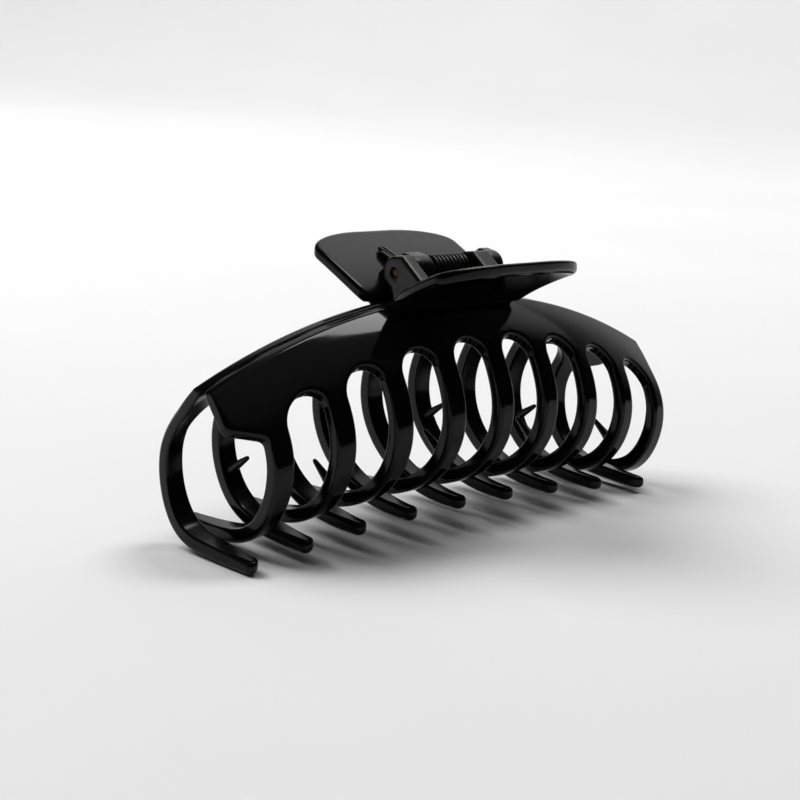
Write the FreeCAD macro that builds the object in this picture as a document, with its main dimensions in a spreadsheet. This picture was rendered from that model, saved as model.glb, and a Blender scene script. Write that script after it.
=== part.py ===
"""Large jaw clip for hair: two identical interlocking jaws, a hinge pin and a torsion spring.

Frame: X runs along the hinge pin, Y across the two jaws, Z up.  The front jaw faces -Y and the
rear jaw +Y.  The clip stands on its teeth, the lowest of which touch Z = 0.  Millimetres.
"""
import FreeCAD, Part
import math
import os

os.makedirs("parts", exist_ok=True)
V = FreeCAD.Vector
doc = FreeCAD.newDocument("hair_claw")

# ------------------------------------------------------------------ driving dimensions
DIMS = [
    # teeth
    ("pitch", 14.67, "tooth to tooth along the jaw"),
    ("tooth_width", 4.60, "tooth width at its root"),
    ("tip_width", 3.50, "tooth width at its tip"),
    ("taper_start", -4.0, "Y where a front tooth starts to narrow"),
    ("first_tooth", -3.75, "first front tooth, in pitches from the middle"),
    # jaw profile: six control points of the outer skin in the YZ plane at the middle of the jaw,
    # each with its change towards the jaw's ends (a quadratic in X)
    ("base_height", 19.02, "height of the profile's own zero above the ground"),
    ("y_a", -2.76, "top edge"), ("z_a", 29.90, ""), ("dy_a", -0.07, ""), ("dz_a", -13.39, ""), ("qz_a", -0.48, ""),
    ("y_b", -10.97, "shoulder"), ("z_b", 23.50, ""), ("dy_b", 2.91, ""), ("dz_b", -12.72, ""),
    ("y_c", -18.69, "widest point"), ("z_c", 8.18, ""), ("dy_c", 4.60, ""), ("dz_c", -8.12, ""),
    ("y_d", -10.99, "lower bend"), ("z_d", -8.15, ""), ("dy_d", 2.52, ""), ("dz_d", -6.89, ""),
    ("y_e", 2.49, "underside"), ("z_e", -13.88, ""), ("dy_e", 0.55, ""), ("dz_e", -4.47, ""),
    ("y_f", 12.93, "tooth tip"), ("z_f", -14.67, ""), ("dy_f", 1.94, ""), ("dz_f", -4.04, ""),
    ("skin_top", 2.36, "thickness at the top edge"),
    ("skin_mid", 3.25, "thickness of the tooth at its widest point"),
    ("skin_tip", 2.90, "thickness of the tooth at its tip"),
    ("slot_depth", 11.23, "outer skin from the top edge to a slot, middle"),
    ("slot_rise", -1.55, "change of that depth towards the ends"),
    # end of the panel beyond the first tooth, measured on the outer skin
    ("end_depth", 10.50, "top edge to the slanted edge, above the end gap's middle"),
    ("end_slope", 0.86, "rise of the slanted edge per unit of X"),
    ("end_fillet", 3.0, "fillet between the slanted edge and the first tooth"),
    # thumb tab, upper face in the YZ plane
    ("tab_root_y", -3.64, ""), ("tab_root_z", 28.20, ""),
    ("tab_mid_y", -8.39, ""), ("tab_mid_z", 33.58, ""),
    ("tab_tip_y", -24.60, ""), ("tab_tip_z", 41.00, ""),
    ("tab_thick", 2.5, "tab thickness"),
    ("tab_half_root", 16.93, "half width at the root"),
    ("tab_half_low", 19.54, "half width one third up"),
    ("tab_half_high", 20.88, "half width two thirds up"),
    ("tab_half_tip", 21.05, "half width at the tip"),
    ("tab_corner", 16.0, "corner rounding along X"),
    ("tab_corner_rise", 4.0, "corner rounding along the tab"),
    # hinge
    ("hinge_height", 35.60, "pin axis above the profile's zero"),
    ("pin_radius", 1.0, "hinge pin"),
    ("pin_half_length", 14.8, ""),
    ("pin_chamfer", 0.2, ""),
    ("bore_clearance", 0.05, "radial running clearance of the pin in the ears"),
    ("knuckle_radius", 3.50, "ear round the pin"),
    ("ear_peak_y", -1.9, "ear peak from the pin axis"),
    ("ear_peak_z", 3.8, ""),
    ("ear_toe_y", -9.6, "ear toe from the pin axis"),
    ("ear_toe_z", -1.7, ""),
    ("outer_ear_start", 11.6, ""), ("outer_ear_end", 15.25, ""),
    ("inner_ear_start", 6.1, ""), ("inner_ear_end", 11.2, ""),
    ("boss_radius", 2.1, "boss that centres the coil"),
    ("boss_length", 1.3, ""),
    # spring
    ("coil_radius", 2.85, "mean radius of the coil"),
    ("wire_radius", 0.45, ""),
    ("coil_half_length", 4.95, "first to last turn, half"),
    ("coil_turns", 9.5, ""),
    ("leg_length", 16.0, "spring leg along the tab"),
    # seat of the spring leg on the tab
    ("seat_half_width", 1.6, ""), ("rib_half_gap", 0.6, ""), ("rib_height", 1.0, ""),
    ("seat_end", 15.8, "seat floor, along the leg"), ("rib_end_near", 17.0, "rib on the coil's side"), ("rib_end_far", 14.9, "rib on the ear's side"),
    # thorns inside the teeth
    ("thorn_length", 6.6, ""), ("thorn_base", 1.3, ""), ("thorn_tip", 0.45, ""),
]
sheet = doc.addObject("Spreadsheet::Sheet", "sizes")
sheet.Label = "sizes"
for row, (name, value, note) in enumerate(DIMS, 1):
    sheet.set("A%d" % row, name)
    sheet.set("B%d" % row, str(value))
    sheet.setAlias("B%d" % row, name)
    sheet.set("C%d" % row, note or name.replace("_", " "))
doc.recompute()


def dim(name):
    return float(sheet.get(name))


P = dim("pitch")
W = dim("tooth_width")
END = 4.25 * P                       # centre of the last tooth
HALF = END + W / 2.0                 # half length of the clip
Z0 = dim("base_height")
PIN_Z = dim("hinge_height") + Z0
KNOTS = [0.0, 16 / 88.0, 34 / 88.0, 55 / 88.0, 72 / 88.0, 1.0]


# ------------------------------------------------------------------ profile of the jaw
def natural(knots, vals):
    """Second derivatives of the natural cubic spline through vals."""
    n = len(knots)
    a, b, c, r = [0.0] * n, [1.0] * n, [0.0] * n, [0.0] * n
    for i in range(1, n - 1):
        lo, hi = knots[i] - knots[i - 1], knots[i + 1] - knots[i]
        a[i], b[i], c[i] = lo / 6, (lo + hi) / 3, hi / 6
        r[i] = (vals[i + 1] - vals[i]) / hi - (vals[i] - vals[i - 1]) / lo
    for i in range(1, n):
        f = a[i] / b[i - 1]
        b[i] -= f * c[i - 1]
        r[i] -= f * r[i - 1]
    m = [0.0] * n
    m[-1] = r[-1] / b[-1]
    for i in range(n - 2, -1, -1):
        m[i] = (r[i] - c[i] * m[i + 1]) / b[i]
    return m


def spline(knots, vals, m, u):
    k = 0
    while k < len(knots) - 2 and u > knots[k + 1]:
        k += 1
    width = knots[k + 1] - knots[k]
    p, q = (knots[k + 1] - u) / width, (u - knots[k]) / width
    v = p * vals[k] + q * vals[k + 1] + ((p ** 3 - p) * m[k] + (q ** 3 - q) * m[k + 1]) * width ** 2 / 6
    d = (vals[k + 1] - vals[k]) / width + ((1 - 3 * p * p) * m[k] + (3 * q * q - 1) * m[k + 1]) * width / 6
    return v, d


def skin_thickness(u):
    top, mid, tip = dim("skin_top"), dim("skin_mid"), dim("skin_tip")
    return top + (mid - top) * u / 0.42 if u < 0.42 else mid + (tip - mid) * (u - 0.42) / 0.58


def profile(x, count=27):
    """Outer and inner skin of the front jaw at x: lists of (y, z, tangent y, tangent z)."""
    e = (x / END) ** 2
    ys = [dim("y_" + k) + dim("dy_" + k) * e for k in "abcdef"]
    zs = [dim("z_" + k) + dim("dz_" + k) * e + Z0 for k in "abcdef"]
    zs[0] += dim("qz_a") * e * e
    my, mz = natural(KNOTS, ys), natural(KNOTS, zs)
    outer, inner = [], []
    for i in range(count):
        u = i / (count - 1.0)
        y, dy = spline(KNOTS, ys, my, u)
        z, dz = spline(KNOTS, zs, mz, u)
        size = math.hypot(dy, dz)
        dy, dz = dy / size, dz / size
        ny, nz = -dz, dy
        blend = min(1.0, u / 0.10)             # the top edge is cut level
        ny, nz = ny * blend + (1 - blend), nz * blend
        size = math.hypot(ny, nz)
        t = skin_thickness(u)
        outer.append((y, z, dy, dz))
        inner.append((y + ny / size * t, z + nz / size * t, dy, dz))
    return outer, inner


def skin_point(x, depth):
    """Point and unit tangent of the outer skin at an arc length below the top edge."""
    outer, _ = profile(x, 121)
    run = 0.0
    for a, b in zip(outer, outer[1:]):
        step = math.hypot(b[0] - a[0], b[1] - a[1])
        if run + step >= depth:
            f = (depth - run) / step
            return [a[k] + (b[k] - a[k]) * f for k in range(4)]
        run += step
    return outer[-1]


def section(x):
    outer, inner = profile(x)
    a = [V(x, p[0], p[1]) for p in outer]
    b = [V(x, p[0], p[1]) for p in inner]
    one, two = Part.BSplineCurve(), Part.BSplineCurve()
    one.interpolate(a)
    two.interpolate(b[::-1])
    ty, tz = outer[-1][2], outer[-1][3]
    bulge = (a[-1] + b[-1]) * 0.5 + V(0, ty, tz) * (dim("skin_tip") * 0.5)
    tip = Part.Arc(a[-1], bulge, b[-1])
    return Part.Wire([one.toShape(), tip.toShape(), two.toShape(), Part.makeLine(b[0], a[0])])


def prism(points, x0, x1):
    """Closed YZ polygon pushed from x0 to x1."""
    wire = Part.makePolygon([V(x0, y, z) for y, z in points + points[:1]])
    return Part.Face(wire).extrude(V(x1 - x0, 0, 0))


# ------------------------------------------------------------------ curved skin of one jaw
STATIONS = [-HALF + 2 * HALF * i / 12.0 for i in range(13)]
skin = doc.addObject("Part::Feature", "jaw_skin")
skin.Shape = Part.makeLoft([section(x) for x in STATIONS], True, False)

# gaps between the teeth: round at the top, open at the tips
gap = (P - W) / 2.0
cutters = []
for k in range(8):
    xc = (dim("first_tooth") + k + 0.5) * P
    y, z, ty, tz = skin_point(xc, dim("slot_depth") + dim("slot_rise") * (xc / END) ** 2 + gap)
    ny, nz = -tz, ty
    round_top = Part.makeCylinder(gap, 16, V(xc, y - 8 * ny, z - 8 * nz), V(0, ny, nz))
    outside, inside = (y - 8 * ny, z - 8 * nz), (y + 8 * ny, z + 8 * nz)
    slab = prism([outside, inside, (5, Z0 - 2), (30, Z0 - 2), (30, Z0 - 40), (-40, Z0 - 40), (-40, outside[1])],
                 xc - gap, xc + gap)
    cutters.append(round_top.fuse(slab))

# beyond the first tooth the panel ends in a slanted edge that runs into the tooth with a fillet
xc, fillet, slope = -END, dim("end_fillet"), dim("end_slope")
size = math.hypot(1.0, slope)
lx, ls = slope / size, -1.0 / size                  # unit normal of the slanted edge, into the panel
root = dim("first_tooth") * P - W / 2.0            # the first tooth's outer side
ref = 12.0
y, z, ty, tz = skin_point(root - 3.0, ref)
ny, nz = -tz, ty
centre_s = dim("end_depth") + ((root - fillet - xc) * lx + fillet) / -ls
far = xc - 8.0
outline = [(far, dim("end_depth") + slope * (far - xc))]
start_angle = math.atan2(ls, lx)
for i in range(9):
    a = start_angle * (1 - i / 8.0)
    outline.append((root - fillet + fillet * math.cos(a), centre_s + fillet * math.sin(a)))
outline += [(root, ref + 9.0), (far, ref + 9.0)]


def on_skin(x, depth, lift):
    return V(x, y + (depth - ref) * ty + lift * ny, z + (depth - ref) * tz + lift * nz)


ring = Part.makePolygon([on_skin(x, depth, -8.0) for x, depth in outline + outline[:1]])
notch = Part.Face(ring).extrude(V(0, ny, nz) * 16.0)
outside, inside = on_skin(xc, ref + 8.0, -8.0), on_skin(xc, ref + 8.0, 8.0)
below = prism([(outside.y, outside.z), (inside.y, inside.z), (5, Z0 - 2), (30, Z0 - 2), (30, Z0 - 40),
               (-40, Z0 - 40), (-40, outside.z)], far, root)
cutters.append(notch.fuse(below))

# the teeth narrow towards round tips
block = Part.makeBox(2 * HALF + 8, 40, 30, V(-HALF - 4, dim("taper_start"), Z0 - 34))
fingers = []
for k in range(9):
    xk = (dim("first_tooth") + k) * P
    outer, inner = profile(xk)
    half, small = W / 2.0, dim("tip_width") / 2.0
    y_end = 0.5 * (outer[-1][0] + inner[-1][0]) + dim("skin_tip") * 0.5 - small
    start = dim("taper_start")
    low, top = Z0 - 35, Z0 - 3
    face = Part.Face(Part.Wire([
        Part.makeLine(V(xk - half, start - 1, low), V(xk + half, start - 1, low)),
        Part.makeLine(V(xk + half, start - 1, low), V(xk + half, start, low)),
        Part.makeLine(V(xk + half, start, low), V(xk + small, y_end, low)),
        Part.Arc(V(xk + small, y_end, low), V(xk, y_end + small, low), V(xk - small, y_end, low)).toShape(),
        Part.makeLine(V(xk - small, y_end, low), V(xk - half, start, low)),
        Part.makeLine(V(xk - half, start, low), V(xk - half, start - 1, low))]))
    fingers.append(face.extrude(V(0, 0, top - low)))
waste = block.cut(fingers[0].multiFuse(fingers[1:]))

toothed = doc.addObject("Part::Feature", "jaw_teeth")
toothed.Shape = skin.Shape.cut(cutters).cut(waste)

# ------------------------------------------------------------------ thorns inside every second tooth
thorns = []
for k in (1, 3, 5, 7):
    xk = (dim("first_tooth") + k) * P
    _, inner = profile(xk, 121)
    # the thorn stands on the inner face, a little under the widest point
    y, z, ty, tz = min(inner[40:90], key=lambda p: abs(p[1] - (dim("z_c") + dim("dz_c") * (xk / END) ** 2 + Z0 - 9.0)))
    ny, nz = math.cos(math.radians(35)), math.sin(math.radians(35))
    rings = []
    for run, radius in ((-2.0, dim("thorn_base")), (dim("thorn_length"), dim("thorn_tip"))):
        centre = V(xk, y + run * ny, z + run * nz)
        rings.append(Part.makePolygon([centre + V(1, 0, 0) * (radius * math.cos(a)) + V(0, -nz, ny) * (radius * math.sin(a))
                                       for a in [math.pi * (q + 0.5) / 4 for q in range(9)]]))
    thorns.append(Part.makeLoft(rings, True, True))

# ------------------------------------------------------------------ thumb tab
def tab_curve(s):
    a, b, c = 2 * (s - 0.5) * (s - 1), -4 * s * (s - 1), 2 * s * (s - 0.5)
    y = dim("tab_root_y") * a + dim("tab_mid_y") * b + dim("tab_tip_y") * c
    z = dim("tab_root_z") * a + dim("tab_mid_z") * b + dim("tab_tip_z") * c
    da, db, dc = 4 * s - 3, 4 - 8 * s, 4 * s - 1
    ty = dim("tab_root_y") * da + dim("tab_mid_y") * db + dim("tab_tip_y") * dc
    tz = dim("tab_root_z") * da + dim("tab_mid_z") * db + dim("tab_tip_z") * dc
    size = math.hypot(ty, tz)
    return y, z + Z0, ty / size, tz / size


def tab_half(s):
    h = [dim("tab_half_root"), dim("tab_half_low"), dim("tab_half_high"), dim("tab_half_tip")]
    knots = [0.0, 1 / 3.0, 2 / 3.0, 1.0]
    m = natural(knots, h)
    return spline(knots, h, m, s)[0]


S_LOW = -0.10
uppers, lowers = [], []
for i in range(17):
    s = S_LOW + (1.0 - S_LOW) * i / 16.0
    y, z, ty, tz = tab_curve(s)
    uppers.append((y, z))
    lowers.append((y - dim("tab_thick") * tz, z + dim("tab_thick") * ty))
up, down = Part.BSplineCurve(), Part.BSplineCurve()
reach = 26.0
up.interpolate([V(-reach, y, z) for y, z in uppers])
down.interpolate([V(-reach, y, z) for y, z in lowers[::-1]])
strip = Part.Face(Part.Wire([
    up.toShape(),
    Part.makeLine(V(-reach, *uppers[-1]), V(-reach, *lowers[-1])),
    down.toShape(),
    Part.makeLine(V(-reach, *lowers[0]), V(-reach, *uppers[0]))])).extrude(V(2 * reach, 0, 0))

# plan outline of the tab (seen along Z), symmetric about X = 0
side = []
s_corner = 1 - dim("tab_corner_rise") / math.hypot(dim("tab_tip_y") - dim("tab_root_y"), dim("tab_tip_z") - dim("tab_root_z"))
for i in range(9):
    s = S_LOW + (s_corner - S_LOW) * i / 8.0
    side.append((max(tab_half(max(s, 0.0)), 1.0), tab_curve(s)[0]))
hc = tab_half(s_corner)
corner = []
for i in range(1, 9):
    a = math.pi / 2 * i / 8.0
    s = s_corner + (1 - s_corner) * math.sin(a)
    corner.append((hc - dim("tab_corner") * (1 - math.cos(a)), tab_curve(s)[0]))
pts = [V(x, y, Z0) for x, y in side + corner]
edge = Part.BSplineCurve()
edge.interpolate(pts)
mirror = Part.BSplineCurve()
mirror.interpolate([V(-p.x, p.y, p.z) for p in pts[::-1]])
plan = Part.Face(Part.Wire([
    edge.toShape(),
    Part.makeLine(pts[-1], V(-pts[-1].x, pts[-1].y, Z0)),
    mirror.toShape(),
    Part.makeLine(V(-pts[0].x, pts[0].y, Z0), pts[0])])).extrude(V(0, 0, 50))
tab = strip.common(plan)

# ------------------------------------------------------------------ ears, spring seat and coil boss
def ear(x0, x1):
    r = dim("knuckle_radius")
    peak = (dim("ear_peak_y"), PIN_Z + dim("ear_peak_z"))
    toe = (dim("ear_toe_y"), PIN_Z + dim("ear_toe_z"))
    body = prism([(0.0, PIN_Z + r), peak, toe, (-9.3, PIN_Z - 3.2), (-4.2, Z0 + 27.5), (-2.7, Z0 + 26.5),
                  (-0.7, Z0 + 28.2), (0.9, PIN_Z - 3.38), (1.6, PIN_Z - 2.2)], x0, x1)
    disc = Part.makeCylinder(r, x1 - x0, V(x0, 0, PIN_Z), V(1, 0, 0))
    return body.fuse(disc)


ears = [ear(-dim("outer_ear_end"), -dim("outer_ear_start")), ear(dim("inner_ear_start"), dim("inner_ear_end"))]
boss = Part.makeCylinder(dim("boss_radius"), dim("boss_length") + 0.2,
                         V(dim("inner_ear_start") - dim("boss_length"), 0, PIN_Z), V(1, 0, 0))

# straight line of the spring leg: from the coil, down on to the tab
LEG_X = dim("coil_half_length")
leg_angle = math.radians(180 - 19.0)
leg_dir = V(0, math.cos(leg_angle), math.sin(leg_angle))
leg_side = V(0, leg_dir.z, -leg_dir.y)
if leg_side.z > 0:
    leg_side = leg_side * -1
leg_start = V(LEG_X, 0, PIN_Z) + leg_side * dim("coil_radius")
seat_z = -dim("wire_radius") - 0.06


def along(s, lift):
    q = leg_start + leg_dir * s + leg_side * (-lift)
    return (q.y, q.z)


end = dim("seat_end")
seat_poly = [along(5.0, seat_z), along(end - 0.9, seat_z), along(end, seat_z - 0.6), along(end, -5.5), along(5.0, -6.0)]


def rib_poly(end):
    return [along(6.0, seat_z + dim("rib_height")), along(end - 1.3, seat_z + dim("rib_height")),
            along(end, seat_z - 0.2), along(end, -5.5), along(5.2, -6.0), along(5.2, seat_z)]


seat = prism(seat_poly, LEG_X - dim("seat_half_width"), LEG_X + dim("seat_half_width"))
rib_one = prism(rib_poly(dim("rib_end_near")), LEG_X - dim("seat_half_width"), LEG_X - dim("rib_half_gap"))
rib_two = prism(rib_poly(dim("rib_end_far")), LEG_X + dim("rib_half_gap"), LEG_X + dim("seat_half_width"))
# keep the seat on the upper side of the tab
above = Part.Face(Part.Wire([
    up.toShape(),
    Part.makeLine(V(-reach, *uppers[-1]), V(-reach, uppers[-1][0], 80)),
    Part.makeLine(V(-reach, uppers[-1][0], 80), V(-reach, uppers[0][0], 80)),
    Part.makeLine(V(-reach, uppers[0][0], 80), V(-reach, *uppers[0]))])).extrude(V(2 * reach, 0, 0))
band = above.fuse(strip)
seats = seat.multiFuse([rib_one, rib_two]).common(band)

raw = doc.addObject("Part::Feature", "jaw_raw")
head = tab.multiFuse(ears + [boss, seats])
whole = toothed.Shape.fuse(head)
for thorn in thorns:
    whole = whole.fuse(thorn)
raw.Shape = whole.removeSplitter()

# bore for the pin, right through both ears
bore = doc.addObject("Part::Cylinder", "pin_bore")
bore.setExpression("Radius", "sizes.pin_radius + sizes.bore_clearance")
bore.setExpression("Height", "2 * sizes.outer_ear_end + 10")
bore.setExpression("Placement.Base.x", "-sizes.outer_ear_end - 5")
bore.setExpression("Placement.Base.z", "sizes.hinge_height + sizes.base_height")
bore.Placement = FreeCAD.Placement(V(-dim("outer_ear_end") - 5, 0, PIN_Z), FreeCAD.Rotation(V(0, 1, 0), 90))
front = doc.addObject("Part::Cut", "front_jaw")
front.Base, front.Tool = raw, bore
front.Label = "front_jaw"
doc.recompute()

# the other jaw is the same moulding, turned half a turn about the upright axis
rear = doc.addObject("Part::Feature", "rear_jaw")
rear.Shape = front.Shape.copy()
rear.Placement = FreeCAD.Placement(V(0, 0, 0), FreeCAD.Rotation(V(0, 0, 1), 180))
rear.Label = "rear_jaw"

# ------------------------------------------------------------------ hinge pin
pin = doc.addObject("PartDesign::Body", "pin_body")
pin.Label = "hinge_pin"
sketch = pin.newObject("Sketcher::SketchObject", "pin_half_section")
plane = [f for f in pin.Origin.OriginFeatures if f.Role == "XY_Plane"][0]
sketch.AttachmentSupport = [(plane, "")]
sketch.MapMode = "FlatFace"
L, R, C = dim("pin_half_length"), dim("pin_radius"), dim("pin_chamfer")
import Sketcher
corners = [(-L, 0), (L, 0), (L, R - C), (L - C, R), (-L + C, R), (-L, R - C)]
for (ax, ay), (bx, by) in zip(corners, corners[1:] + corners[:1]):
    sketch.addGeometry(Part.LineSegment(V(ax, ay, 0), V(bx, by, 0)), False)
for i in range(6):
    sketch.addConstraint(Sketcher.Constraint("Coincident", i, 2, (i + 1) % 6, 1))
sketch.addConstraint(Sketcher.Constraint("Horizontal", 0))
sketch.addConstraint(Sketcher.Constraint("Horizontal", 3))
sketch.addConstraint(Sketcher.Constraint("Vertical", 1))
sketch.addConstraint(Sketcher.Constraint("Vertical", 5))
sketch.addConstraint(Sketcher.Constraint("PointOnObject", 0, 1, -1))
for geo, pos, axis, sign, text in (
        (0, 1, "DistanceX", -1, "sizes.pin_half_length"), (0, 2, "DistanceX", 1, "sizes.pin_half_length"),
        (2, 2, "DistanceY", 1, "sizes.pin_radius"), (1, 2, "DistanceY", 1, "sizes.pin_radius - sizes.pin_chamfer"),
        (4, 2, "DistanceY", 1, "sizes.pin_radius - sizes.pin_chamfer"),
        (2, 2, "DistanceX", 1, "sizes.pin_half_length - sizes.pin_chamfer"),
        (3, 2, "DistanceX", -1, "sizes.pin_half_length - sizes.pin_chamfer")):
    value = {"DistanceX": {0: L, 2: L - C, 3: L - C}, "DistanceY": {2: R, 1: R - C, 4: R - C}}[axis][geo]
    if sign < 0:
        index = sketch.addConstraint(Sketcher.Constraint(axis, geo, pos, -1, 1, value))
    else:
        index = sketch.addConstraint(Sketcher.Constraint(axis, -1, 1, geo, pos, value))
    sketch.setExpression("Constraints[%d]" % index, text)
turn = pin.newObject("PartDesign::Revolution", "pin_turned")
turn.Profile = sketch
turn.ReferenceAxis = (sketch, ["H_Axis"])
turn.Angle = 360
pin.Tip = turn
pin.setExpression("Placement.Base.z", "sizes.hinge_height + sizes.base_height")

# ------------------------------------------------------------------ torsion spring
CR, WR = dim("coil_radius"), dim("wire_radius")
turns, half = dim("coil_turns"), dim("coil_half_length")


def arm(sign):
    """Start point of a leg, its direction, and the coil angle where it leaves."""
    direction = V(leg_dir) if sign > 0 else V(0, -leg_dir.y, leg_dir.z)
    side = V(leg_side) if sign > 0 else V(0, -leg_side.y, leg_side.z)
    return V(sign * half, 0, PIN_Z) + side * CR, direction, math.atan2(side.z, side.y)


p_one, d_one, a_one = arm(1)
p_two, d_two, a_two = arm(-1)
# angle grows from the rear leg to the front leg so that both leave along their tangents
span = a_one - a_two
while span < (turns - 0.5) * 2 * math.pi:
    span += 2 * math.pi
tangent = V(0, -math.sin(a_one), math.cos(a_one))
way = 1.0 if tangent.dot(d_one) > 0 else -1.0
if way < 0:
    span = a_one - a_two
    while span > -(turns - 0.5) * 2 * math.pi:
        span -= 2 * math.pi
real_turns = abs(span) / (2 * math.pi)
steps = int(real_turns * 20)
EASE = 0.25                                        # turns over which the pitch grows from nothing at each end
pitch = 2 * half / (real_turns - EASE)


def advance(t):
    """Distance along the pin after t turns: the wire leaves square to the pin at both ends."""
    if t < EASE:
        return pitch * t * t / (2 * EASE)
    if t > real_turns - EASE:
        return 2 * half - pitch * (real_turns - t) ** 2 / (2 * EASE)
    return pitch * (t - EASE / 2)


path_points = []
for i in range(steps + 1):
    f = i / float(steps)
    a = a_two + span * f
    path_points.append(V(-half + advance(real_turns * f), CR * math.cos(a), PIN_Z + CR * math.sin(a)))
coil = Part.BSplineCurve()
t_one = V(0, -math.sin(a_one) * CR * way, math.cos(a_one) * CR * way)
t_two = V(0, -math.sin(a_two) * CR * way, math.cos(a_two) * CR * way)
coil.interpolate(path_points)
leg = dim("leg_length")
first = V(path_points[0]) - V(t_two).normalize() * leg
last = V(path_points[-1]) + V(t_one).normalize() * leg
path = Part.Wire([Part.makeLine(first, path_points[0]), coil.toShape(), Part.makeLine(path_points[-1], last)])
ring = Part.Wire([Part.makeCircle(WR, first, V(t_two))])
sweep = path.makePipeShell([ring], True, True)
spring = doc.addObject("Part::Feature", "torsion_spring")
spring.Shape = sweep if sweep.ShapeType == "Solid" else Part.Solid(sweep)
spring.Label = "torsion_spring"

# ------------------------------------------------------------------ check and export
doc.recompute()
for obj in doc.Objects:
    if "Invalid" in obj.State or "Error" in obj.State:
        raise RuntimeError("%s is in state %s" % (obj.Name, obj.State))
for obj in (front, rear, pin, spring):
    shape = obj.Shape
    if shape.isNull() or not shape.isValid() or len(shape.Solids) != 1:
        for solid in shape.Solids:
            print(obj.Label, solid.Volume, solid.BoundBox)
        raise RuntimeError("%s: valid %s, solids %d" % (obj.Label, shape.isValid(), len(shape.Solids)))
    box = shape.BoundBox
    print(obj.Label, "%.1f mm3" % shape.Volume, "x %.2f %.2f y %.2f %.2f z %.3f %.3f" % (
        box.XMin, box.XMax, box.YMin, box.YMax, box.ZMin, box.ZMax))
    shape.exportStep("parts/%s.step" % obj.Label)
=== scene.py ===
"""Large black jaw clip for hair, closed, standing on a pale floor."""
import bpy
import math
import numpy as np
from mathutils import Vector, Matrix


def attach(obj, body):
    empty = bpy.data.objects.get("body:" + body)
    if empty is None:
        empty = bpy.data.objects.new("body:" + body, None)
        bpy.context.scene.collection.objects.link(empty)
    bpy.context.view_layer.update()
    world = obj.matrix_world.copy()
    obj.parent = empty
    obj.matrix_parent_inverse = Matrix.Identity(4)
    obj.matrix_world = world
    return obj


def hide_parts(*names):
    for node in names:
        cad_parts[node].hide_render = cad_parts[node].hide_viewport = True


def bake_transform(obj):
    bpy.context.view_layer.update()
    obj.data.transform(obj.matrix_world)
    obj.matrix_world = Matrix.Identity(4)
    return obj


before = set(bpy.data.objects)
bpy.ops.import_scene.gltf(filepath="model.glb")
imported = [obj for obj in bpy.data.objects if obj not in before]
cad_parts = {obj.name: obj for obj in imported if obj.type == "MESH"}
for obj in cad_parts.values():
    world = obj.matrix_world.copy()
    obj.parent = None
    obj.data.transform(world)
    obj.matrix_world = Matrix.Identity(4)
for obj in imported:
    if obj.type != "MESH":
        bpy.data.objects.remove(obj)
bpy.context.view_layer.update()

MM = 0.001

# ------------------------------------------------------------------ the clip's numbers, in millimetres
P, W, WT = 14.67, 4.60, 3.50              # tooth pitch, tooth width at the root and at the tip
END = 4.25 * P
HALF = END + W / 2
Z0 = 19.02
GAP = (P - W) / 2                          # radius of the round top of a slot
PIN_Z = 35.60 + Z0
KNOTS = np.array([0, 16, 34, 55, 72, 88.0]) / 88.0
CTRL_Y = np.array([-2.76, -10.97, -18.69, -10.99, 2.49, 12.93])
CTRL_DY = np.array([-0.07, 2.91, 4.60, 2.52, 0.55, 1.94])
CTRL_Z = np.array([29.90, 23.50, 8.18, -8.15, -13.88, -14.67]) + Z0
CTRL_DZ = np.array([-13.39, -12.72, -8.12, -6.89, -4.47, -4.04])
TOP_T, MID_T, TIP_T = 2.36, 3.25, 2.90     # skin thickness
TAPER_Y = -4.0


def natural_basis(knots):
    """Matrix that turns knot values into the second derivatives of their natural cubic spline."""
    n = len(knots)
    a, r = np.eye(n), np.zeros((n, n))
    for i in range(1, n - 1):
        lo, hi = knots[i] - knots[i - 1], knots[i + 1] - knots[i]
        a[i, i - 1], a[i, i], a[i, i + 1] = lo / 6, (lo + hi) / 3, hi / 6
        r[i, i - 1], r[i, i], r[i, i + 1] = 1 / lo, -1 / lo - 1 / hi, 1 / hi
    return np.linalg.solve(a, r)


def spline_rows(knots, u):
    """Rows that give the natural spline's value and slope at each u from its knot values."""
    m = natural_basis(knots)
    u = np.asarray(u, float)
    k = np.clip(np.searchsorted(knots, u, side="right") - 1, 0, len(knots) - 2)
    width = knots[k + 1] - knots[k]
    p, q = (knots[k + 1] - u) / width, (u - knots[k]) / width
    eye = np.eye(len(knots))
    value = p[:, None] * eye[k] + q[:, None] * eye[k + 1] + (((p ** 3 - p)[:, None] * m[k] + (q ** 3 - q)[:, None] * m[k + 1]) * (width ** 2)[:, None] / 6)
    slope = (eye[k + 1] - eye[k]) / width[:, None] + ((1 - 3 * p * p)[:, None] * m[k] + (3 * q * q - 1)[:, None] * m[k + 1]) * width[:, None] / 6
    return value, slope


FINE = np.linspace(0, 1, 401)
FINE_V, FINE_D = spline_rows(KNOTS, FINE)


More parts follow.
